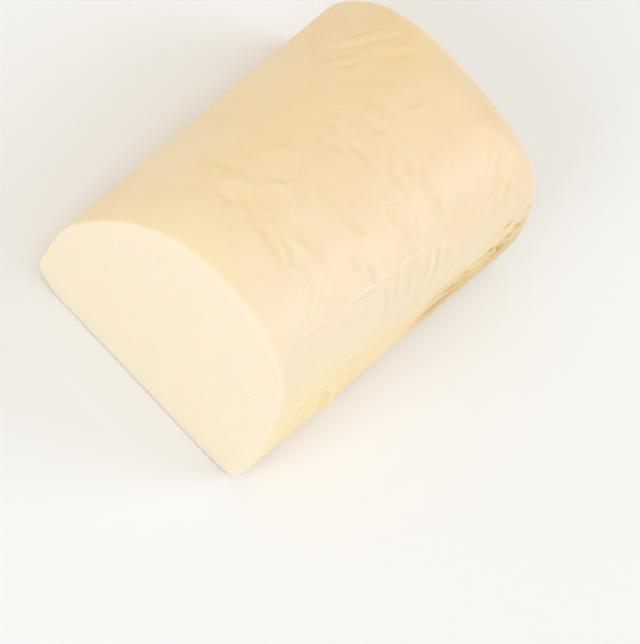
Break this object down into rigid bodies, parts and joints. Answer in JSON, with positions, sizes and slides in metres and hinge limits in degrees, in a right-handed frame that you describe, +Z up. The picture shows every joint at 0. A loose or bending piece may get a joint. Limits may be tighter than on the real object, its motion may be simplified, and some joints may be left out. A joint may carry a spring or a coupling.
{
  "type": "gouda cheese loaf",
  "caption": "Part loaf of gouda: a domed block of semi-hard cheese with a flat base, a flat cut at one end and a rounded moulded end.",
  "frame": {"origin": "on the flat base, under the middle of the loaf's box", "axes": "+Y along the loaf from the cut to the moulded end, +X across it, +Z up"},
  "size_m": [0.1116, 0.1614, 0.0908],
  "materials": {
    "gouda_paste": "satin, slightly translucent, pale butter yellow"
  },
  "bodies": {
    "root": {"gouda_loaf": "gouda_paste"}
  },
  "joints": []
}
